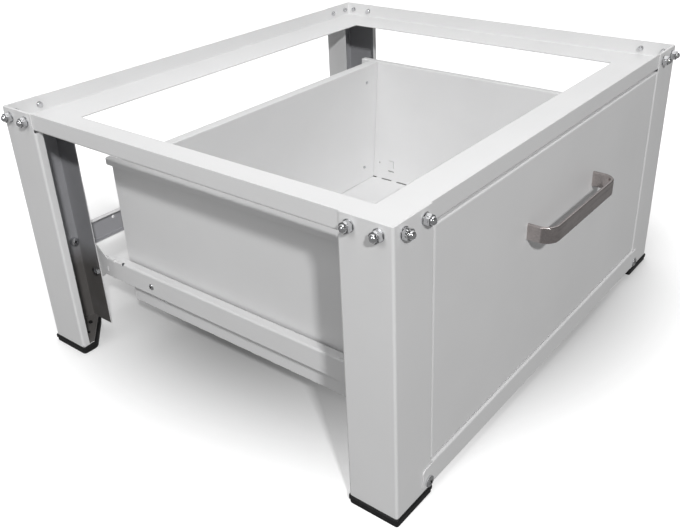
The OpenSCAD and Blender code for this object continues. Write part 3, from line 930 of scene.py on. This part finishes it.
@dataclass(frozen=True)
class Ball:
    """Bearing ball round its middle."""

    size: float
    rise: float = 0.0
    ease: float = 0.0
    steps: int = 20
    fit: Fit = Fit.FOOT_DOWN

    def shape(self) -> Piece:
        """Makes the ball.

        Returns:
            The ball, at the origin.
        """
        radius = self.size / 2
        rings = self.steps // 2
        turns = [math.pi * step / rings - math.pi / 2 for step in range(1, rings)]
        curve = [(radius * math.cos(turn), radius * math.sin(turn)) for turn in turns]
        return lathed("ball", [(0, -radius), *curve, (0, radius)], self.steps)


# ---- Geometry node trees ----


class Recipe(Graph):
    """A geometry node tree with named inputs that makes one piece."""

    def __init__(self, name: str) -> None:
        """Starts a tree.

        Args:
            name: the tree's name.
        """
        super().__init__(bpy.data.node_groups.new(name, "GeometryNodeTree"))
        self.tree.is_modifier = True
        self.tree.interface.new_socket("Geometry", in_out="INPUT", socket_type="NodeSocketGeometry")
        self.tree.interface.new_socket("Geometry", in_out="OUTPUT", socket_type="NodeSocketGeometry")
        self.entry = self.add("NodeGroupInput")
        self.settings: dict[str, object] = {}

    def ask(self, name: str, kind: str, value: object) -> Socket:
        """Adds a named input to the tree.

        Args:
            name: the input's name.
            kind: Float, Int, Object or Material.
            value: the value that this piece gives it.

        Returns:
            The socket that hands the value out inside the tree.
        """
        asked = self.tree.interface.new_socket(name, in_out="INPUT", socket_type=f"NodeSocket{kind}")
        self.settings[asked.identifier] = value
        return self.entry.outputs[name]

    def finish(self, geometry: Socket, material: bpy.types.Material) -> None:
        """Ends the tree in real geometry with a finish.

        Args:
            geometry: what the tree has made.
            material: the finish.
        """
        finish = self.ask("Finish", "Material", material)
        real = self.add("GeometryNodeRealizeInstances", [geometry]).outputs[0]
        dressed = self.add("GeometryNodeSetMaterial", {"Geometry": real, "Material": finish})
        self.add("NodeGroupOutput", [dressed.outputs[0]])

    def made(self, name: str, start: bpy.types.Mesh) -> Piece:
        """Runs the tree once.

        Args:
            name: the new piece's name.
            start: the mesh that the tree starts from.

        Returns:
            The piece as a plain mesh.
        """
        piece = new_piece(name, start)
        modifier = piece.modifiers.new("recipe", "NODES")
        modifier.node_group = self.tree
        for identifier, value in self.settings.items():
            modifier[identifier] = value
        keep_flats_flat(piece)
        made_plain(piece)
        return piece


@dataclass(frozen=True)
class Seat:
    """Where one fastener sits, and which way it looks."""

    place: Vector
    heading: Vector


FastenerKind = CrossScrew | HexNut | PlainWasher | BlindRivet | Ball
# The largest turns of nuts and screws either way, in degrees
NUT_TURN, SCREW_TURN = 8.0, 45.0


@dataclass
class FastenerSet:
    """All fasteners of one CAD node: one shape, put on every seat with a turn of its own."""

    node: str
    body: str
    kind: FastenerKind
    lean: float = 0.0
    slot: Slot = Slot.PLATE
    largest_turn: float = NUT_TURN
    seed: int = 7
    end_share: float = 0.04
    ease_steps: int = 2
    sharp_from: float = 30.0

    def seats(self) -> list[Seat]:
        """Finds the seats from the CAD node's solids.

        Returns:
            One seat for each solid.
        """
        lean = Matrix.Rotation(math.radians(self.lean), 3, "X")
        upright = [[lean.transposed() @ corner for corner in solid] for solid in solids_of(self.node)]
        found = [self.seat_of(corners) for corners in upright]
        return [Seat(lean @ seat.place, lean @ seat.heading) for seat in found]

    def seat_of(self, corners: list[Vector]) -> Seat:
        """Finds the seat of one solid whose axis runs along x, y or z.

        Args:
            corners: the solid's corners.

        Returns:
            Its seat.
        """
        low = Vector([min(corner[i] for corner in corners) for i in range(3)])
        high = Vector([max(corner[i] for corner in corners) for i in range(3)])
        middle = (low + high) / 2
        if isinstance(self.kind, Ball):
            return Seat(middle, Vector((0, 0, 1)))
        spread = [sum((corner[i] - middle[i]) ** 2 for corner in corners) for i in range(3)]
        along = min(range(3), key=lambda i: abs(spread[i - 1] - spread[i - 2]))
        axis = Vector([float(i == along) for i in range(3)])
        near_end = self.end_share * (high[along] - low[along])

        def width(level: float) -> float:
            """Returns how far the corners near one end reach from the axis."""
            end = [corner for corner in corners if abs(corner[along] - level) < near_end]
            return max((corner - middle - axis * (corner - middle)[along]).length for corner in end)

        widest_high = width(high[along]) > width(low[along])
        looks_up = widest_high if self.kind.fit is Fit.HEAD_UP else not widest_high
        heading = axis if looks_up else -axis
        wide_end = high[along] if widest_high else low[along]
        seat = middle + axis * (wide_end - middle[along]) - heading * self.kind.rise
        return Seat(seat, heading)

    def build(self, palette: Palette) -> None:
        """Makes the fasteners that are shown in place of the CAD node.

        Args:
            palette: the finishes.
        """
        seats = self.seats()
        points = bpy.data.meshes.new(self.node)
        points.from_pydata([seat.place for seat in seats], [], [])
        headings = points.attributes.new("heading", "FLOAT_VECTOR", "POINT")
        for index, seat in enumerate(seats):
            headings.data[index].vector = seat.heading
        master = self.kind.shape()
        if self.kind.ease > 0:
            ease_edges(master, self.kind.ease, self.ease_steps, self.sharp_from)
            made_plain(master)
        master.data.shade_smooth()
        piece = self.recipe(master, palette).made(f"finished_{self.node}", points)
        remove(master)
        stand_in(piece, self.node, self.body)

    def recipe(self, master: Piece, palette: Palette) -> Recipe:
        """Writes the tree that puts the master on every seat.

        Args:
            master: the fastener at the origin.
            palette: the finishes.

        Returns:
            The tree.
        """
        recipe = Recipe(f"{self.node}_on_seats")
        source = recipe.ask("Fastener", "Object", master)
        seed = recipe.ask("Seed", "Int", self.seed)
        most = recipe.ask("Largest turn", "Float", math.radians(self.largest_turn))
        shape = recipe.add("GeometryNodeObjectInfo", {"Object": source}).outputs["Geometry"]
        values = {"Name": "heading"}
        heading = recipe.add("GeometryNodeInputNamedAttribute", values, data_type="FLOAT_VECTOR")
        out = recipe.add("FunctionNodeAlignRotationToVector", {"Vector": heading.outputs[0]}, axis="Z")
        values = {"Rotation": out.outputs[0], "Vector": (0, 0, 1)}
        corner_up = recipe.add("FunctionNodeAlignRotationToVector", values, axis="X", pivot_axis="Z")
        least = recipe.math("MULTIPLY", most, -1.0)
        values = {RANDOM_LEAST: least, RANDOM_MOST: most, RANDOM_SEED: seed}
        drawn = recipe.add("FunctionNodeRandomValue", values, data_type="FLOAT")
        turn = drawn.outputs[RANDOM_RESULT]
        values = {"Axis": (0, 0, 1), "Angle": turn}
        spin = recipe.add("FunctionNodeAxisAngleToRotation", values).outputs[0]
        values = {"Rotation": corner_up.outputs[0], "Rotate By": spin}
        rotation = recipe.add("FunctionNodeRotateRotation", values, rotation_space="LOCAL").outputs[0]
        values = {"Points": recipe.entry.outputs[0], "Instance": shape, "Rotation": rotation}
        placed = recipe.add("GeometryNodeInstanceOnPoints", values).outputs[0]
        recipe.finish(placed, palette.materials[self.slot])
        return recipe


@dataclass
class BowHandle:
    """Handle bent from a flat band: one path with two bends, swept with the band's section."""

    node: str = "drawer_handle"
    body: str = "drawer"
    corners: int = 4
    # How near half way along the path's count the two front corners lie
    front_within: float = 0.6
    bend: float = 15 * MM
    thickness: float = 4 * MM
    edge: float = 1.7 * MM
    bend_steps: int = 16
    edge_steps: int = 7

    def build(self, palette: Palette) -> None:
        """Makes the handle at the size and place of its CAD node.

        Args:
            palette: the finishes.
        """
        low, high = (Vector(corner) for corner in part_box(self.node))
        size = high - low
        recipe = Recipe("bow_handle")
        reach = recipe.ask("Reach", "Float", size.y - self.thickness / 2)
        pitch = recipe.ask("Pitch", "Float", size.x - self.thickness)
        band = recipe.ask("Band", "Float", size.z)
        thickness = recipe.ask("Thickness", "Float", self.thickness)
        bend = recipe.ask("Bend radius", "Float", self.bend)
        edge = recipe.ask("Edge radius", "Float", self.edge)
        middle_x = recipe.ask("Middle x", "Float", (low.x + high.x) / 2)
        panel_y = recipe.ask("Panel y", "Float", high.y)
        level = recipe.ask("Height", "Float", (low.z + high.z) / 2)
        line = recipe.add("GeometryNodeMeshLine", {"Count": self.corners}).outputs[0]
        index = recipe.add("GeometryNodeInputIndex").outputs[0]
        half_way = (self.corners - 1) / 2
        side = recipe.math("SUBTRACT", recipe.math("GREATER_THAN", index, half_way), 0.5)
        across = recipe.math("MULTIPLY_ADD", side, pitch, middle_x)
        out = recipe.math("COMPARE", index, half_way, self.front_within)
        forward = recipe.math("SUBTRACT", panel_y, recipe.math("MULTIPLY", out, reach))
        place = recipe.add("ShaderNodeCombineXYZ", [across, forward, level]).outputs[0]
        bow = recipe.add("GeometryNodeSetPosition", {"Geometry": line, "Position": place}).outputs[0]
        path = recipe.add("GeometryNodeMeshToCurve", {"Mesh": bow}).outputs[0]
        bent = self.rounded(recipe, path, bend, self.bend_steps)
        upright = recipe.add("GeometryNodeSetCurveNormal", {"Curve": bent}, mode="Z_UP").outputs[0]
        values = {"Width": thickness, "Height": band}
        section = recipe.add("GeometryNodeCurvePrimitiveQuadrilateral", values).outputs[0]
        outline = self.rounded(recipe, section, edge, self.edge_steps)
        values = {"Curve": upright, "Profile Curve": outline, "Fill Caps": True}
        swept = recipe.add("GeometryNodeCurveToMesh", values).outputs[0]
        recipe.finish(swept, palette.materials[Slot.HANDLE])
        piece = recipe.made(f"finished_{self.node}", bpy.data.meshes.new(self.node))
        stand_in(piece, self.node, self.body)

    @staticmethod
    def rounded(recipe: Recipe, curve: Socket, radius: Socket, steps: int) -> Socket:
        """Returns a curve with its corners rounded to a radius."""
        values = {"Curve": curve, "Count": steps, "Radius": radius, "Limit Radius": True}
        return recipe.add("GeometryNodeFilletCurve", values, mode="POLY").outputs[0]


# ---- Sub-assemblies ----


@dataclass
class Stand:
    """The fixed part: ring frame, legs, pads, rails and their fasteners."""

    open_folds: tuple[str, ...] = (
        "top_frame",
        "front_lower_rail",
        "slide_support_left",
        "slide_support_right",
    )
    corners: tuple[str, ...] = ("front_left", "front_right", "rear_left", "rear_right")
    coat_ease: float = 0.35 * MM
    pad_ease: float = 0.5 * MM
    body: str = "stand"

    def build(self, palette: Palette) -> None:
        """Makes the stand's sheet pieces, foot pads and fasteners.

        Args:
            palette: the finishes.
        """
        fold_shades = dict.fromkeys(self.open_folds)
        # The legs and the rear cross rail get painted shade on their inner faces
        fold_shades["rear_cross_rail"] = FoldShade.RAIL
        fold_shades |= {f"leg_{corner}": FoldShade.LEG for corner in self.corners}
        for node, inside in fold_shades.items():
            EasedPiece(node, self.body, Slot.COAT, self.coat_ease, inside=inside).build(palette)
        for corner in self.corners:
            EasedPiece(f"foot_{corner}", self.body, Slot.FOOT, self.pad_ease).build(palette)
        self.build_fasteners(palette)

    def build_fasteners(self, palette: Palette) -> None:
        """Makes the bolts, washers, nuts and rivets.

        Args:
            palette: the finishes.
        """
        bolt = CrossScrew(head=10.4 * MM, rise=3.5 * MM, shank=5.9 * MM, length=10 * MM)
        flat_bolt = CrossScrew(head=10.4 * MM, rise=2.1 * MM, shank=5.9 * MM, length=9 * MM)
        rail_bolt = CrossScrew(head=10.4 * MM, rise=3.5 * MM, shank=5.9 * MM, length=9 * MM)
        low_screw = CrossScrew(head=12.4 * MM, rise=3.2 * MM, shank=4.9 * MM, length=9 * MM)
        cap_nut = HexNut(flats=10 * MM, height=10 * MM, cap=4 * MM)
        washer = PlainWasher(outer=12 * MM, bore=6.4 * MM, height=1 * MM)
        plain_nut = HexNut(flats=10 * MM, height=5 * MM, bore=6.1 * MM)
        low_nut = HexNut(flats=8 * MM, height=4 * MM, bore=5.1 * MM)
        rivet = BlindRivet(head=8 * MM, rise=1.4 * MM, shank=3.9 * MM, bore=2.2 * MM, length=2.7 * MM)
        kinds = {
            "frame_bolts": bolt,
            "frame_washers": washer,
            "frame_cap_nuts": cap_nut,
            "support_bolts": flat_bolt,
            "support_nuts": plain_nut,
            "cross_rail_bolts": rail_bolt,
            "cross_rail_nuts": plain_nut,
            "lower_rail_screws": low_screw,
            "lower_rail_nuts": low_nut,
            "slide_rivets": rivet,
        }
        for node, kind in kinds.items():
            largest = SCREW_TURN if isinstance(kind, CrossScrew) else NUT_TURN
            FastenerSet(node, self.body, kind, largest_turn=largest).build(palette)


@dataclass
class Slides:
    """The two ball-bearing slides between the rails and the drawer."""

    ball: float = 4.76 * MM

    def build(self, palette: Palette) -> None:
        """Makes the balls and dresses the members and cages, whose CAD form is shown.

        Args:
            palette: the finishes.
        """
        for side in ("left", "right"):
            members = {f"slide_outer_{side}": Slot.SLIDE, f"slide_inner_{side}": Slot.SLIDE}
            members[f"ball_retainer_{side}"] = Slot.CAGE
            for node, slot in members.items():
                palette.dress(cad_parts[node], slot)
                log.info("%s: kept from CAD", node)
            ball, body = Ball(self.ball), f"ball_cage_{side}"
            FastenerSet(f"slide_balls_{side}", body, ball, slot=Slot.BALL).build(palette)


@dataclass
class Drawer:
    """The drawer's box, front, handle and screws."""

    ease: float = 0.28 * MM
    body: str = "drawer"
    back_lean: float = 4.0

    def build(self, palette: Palette) -> None:
        """Makes the drawer's sheet pieces, handle and screws.

        Args:
            palette: the finishes.
        """
        for node in ("drawer_tray", "drawer_back", "drawer_corner_angles", "drawer_front"):
            EasedPiece(node, self.body, Slot.COAT, self.ease).build(palette)
        BowHandle().build(palette)
        plate_screw = CrossScrew(head=7 * MM, rise=2 * MM, shank=3.9 * MM, length=6.5 * MM, smooth=MM)
        slide_screw = CrossScrew(head=7.5 * MM, rise=2 * MM, shank=3.9 * MM, length=2.2 * MM, smooth=MM)
        handle_screw = CrossScrew(head=7 * MM, rise=2 * MM, shank=2.5 * MM, length=9 * MM, smooth=MM)
        FastenerSet("drawer_back_screws", self.body, plate_screw, lean=self.back_lean).build(palette)
        upright = {
            "drawer_front_screws": plate_screw,
            "slide_inner_screws": slide_screw,
            "handle_screws": handle_screw,
        }
        for node, screw in upright.items():
            FastenerSet(node, self.body, screw).build(palette)


# ---- Studio ----


@dataclass
class Softbox:
    """A square light that looks at the object."""

    name: str
    place: Place
    size: float
    power: float
    aim: Place = (0, 0, 0.2)

    def build(self) -> None:
        """Adds the light."""
        light = bpy.data.lights.new(self.name, "AREA")
        light.shape = "SQUARE"
        light.size = self.size
        light.energy = self.power
        lamp = bpy.data.objects.new(self.name, light)
        bpy.context.scene.collection.objects.link(lamp)
        lamp.location = self.place
        way = Vector(self.aim) - Vector(self.place)
        lamp.rotation_euler = way.to_track_quat("-Z", "Y").to_euler()


@dataclass
class Studio:
    """Pale floor, soft light, and the camera at the photograph's viewing angle."""

    floor_radius: float = 14.0
    floor_sides: int = 96
    floor_colour: Colour = (0.92, 0.92, 0.92)
    paper_clouds: Noise = Noise(0.4)
    paper_share: float = 0.99
    paper_edges: Span = (0.3, 0.7)
    paper_gloss: Span = (0.85, 0.95)
    # Painted shadow: the floor's colour falls to this share round shade_place, behind and right of the
    # object
    floor_shade: float = 0.34
    shade_place: Place = (0.11, 0.1, 0)
    shade_reach: Span = (0.24, 0.56)
    # Painted glow: further out the floor gives off light, which washes its shadows away
    floor_glow: float = 0.66
    glow_reach: Span = (0.3, 0.62)
    sky_top: float = 0.1
    sky_side: float = 0.27
    sky_below: float = 0.24
    upper_reach: Span = (0.0, 0.7)
    lower_reach: Span = (-0.25, 0.0)
    horizon: Span = (-0.06, 0.06)
    backdrop: float = 1.0
    backdrop_way: Place = (0.5, 0.4, 0.77)
    backdrop_reach: Span = (0.76, 0.84)
    # The camera, fitted to the photograph's edges: place, turn round the object, height, roll
    camera_place: Place = (-0.76547, -0.58573, 0.59997)
    azimuth: float = -51.503
    elevation: float = 27.965
    roll: float = -2.025
    # Its focal length and optical centre, in the photograph's pixels
    frame_width_px: float = 680.0
    focal_px: float = 818.4
    centre_px: Span = (359.1, 242.6)
    frame_centre_px: Span = (340.0, 265.0)
    sensor: float = 36.0
    nearest: float = 10 * MM
    lights: tuple[Softbox, ...] = (
        Softbox("key", (-2.55, -3.16, 2.98), size=0.26, power=130),
        Softbox("overhead", (-0.5, -0.4, 2.6), size=1.0, power=11.5),
        Softbox("left_fill", (-2.1, 0.15, 1.7), size=1.2, power=14),
    )

    def build(self) -> None:
        """Makes the studio."""
        self.build_floor()
        self.build_world()
        for light in self.lights:
            light.build()
        self.build_camera()

    def build_floor(self) -> None:
        """Lays the floor, a disc of white paper wider than the view, with a painted shadow under the
        object.
        """
        disc = bmesh.new()
        bmesh.ops.create_circle(disc, cap_ends=True, segments=self.floor_sides, radius=self.floor_radius)
        floor = piece_of(disc, "floor")
        surface = Surface("floor_paper")
        tone = surface.noise(self.paper_clouds)
        values = [surface.place, self.shade_place]
        away = surface.add("ShaderNodeVectorMath", values, operation="DISTANCE").outputs["Value"]
        beyond_painted_shadow = surface.between(away, self.shade_reach, WHOLE)
        paper = surface.mixed(tone, self.floor_colour, shaded(self.floor_colour, self.paper_share))
        # The darker colour round shade_place is a painted shadow; the emission further out is a painted
        # glow
        under = shaded(self.floor_colour, self.floor_shade)
        material = surface.finish(
            Base_Color=surface.mixed(beyond_painted_shadow, under, paper),
            Roughness=surface.between(tone, self.paper_edges, self.paper_gloss),
            Emission_Color=WHITE,
            Emission_Strength=surface.between(away, self.glow_reach, (0.0, self.floor_glow)),
        )
        floor.data.materials.append(material)
        floor.visible_diffuse = False
        floor.visible_glossy = False

    def build_world(self) -> None:
        """Sets the even light from all round, with one wide bright patch high up behind."""
        world = bpy.data.worlds.new("studio")
        world.use_nodes = True
        sky = Graph(world.node_tree)
        way = sky.add("ShaderNodeTexCoord").outputs["Generated"]
        height = sky.add("ShaderNodeSeparateXYZ", [way]).outputs["Z"]
        upper = sky.between(height, self.upper_reach, (self.sky_side, self.sky_top))
        around = sky.between(height, self.lower_reach, (self.sky_below, upper))
        values = [way, self.backdrop_way]
        toward = sky.add("ShaderNodeVectorMath", values, operation="DOT_PRODUCT").outputs["Value"]
        behind = sky.between(toward, self.backdrop_reach, (0.0, self.backdrop))
        above = sky.between(height, self.horizon, (0.0, behind))
        background = world.node_tree.nodes["Background"]
        background.inputs["Color"].default_value = WHITE
        world.node_tree.links.new(sky.math("ADD", around, above), background.inputs["Strength"])
        bpy.context.scene.world = world
        bpy.context.scene.view_settings.view_transform = "Standard"

    def build_camera(self) -> None:
        """Sets the camera where the photograph was taken from."""
        turn, rise = math.radians(self.azimuth), math.radians(self.elevation)
        flat = math.cos(rise)
        back = Vector((math.sin(turn) * flat, -math.cos(turn) * flat, math.sin(rise)))
        level = Vector((0, 0, 1)).cross(back).normalized()
        upright = back.cross(level)
        lean = math.radians(self.roll)
        right = math.cos(lean) * level + math.sin(lean) * upright
        above = math.cos(lean) * upright - math.sin(lean) * level
        axes = Matrix((right, above, back)).transposed()
        data = bpy.data.cameras.new("camera")
        data.sensor_width = self.sensor
        data.lens = self.focal_px / self.frame_width_px * self.sensor
        data.shift_x = (self.frame_centre_px[0] - self.centre_px[0]) / self.frame_width_px
        data.shift_y = (self.centre_px[1] - self.frame_centre_px[1]) / self.frame_width_px
        data.clip_start = self.nearest
        camera = bpy.data.objects.new("camera", data)
        bpy.context.scene.collection.objects.link(camera)
        camera.matrix_world = Matrix.Translation(self.camera_place) @ axes.to_4x4()
        bpy.context.scene.camera = camera


def main() -> None:
    """Builds the studio and the object, sub-assembly by sub-assembly."""
    logging.basicConfig(level=logging.INFO, format="%(name)s %(message)s")
    Studio().build()
    palette = Palette()
    Stand().build(palette)
    Slides().build(palette)
    Drawer().build(palette)


if __name__ == "__main__":
    main()
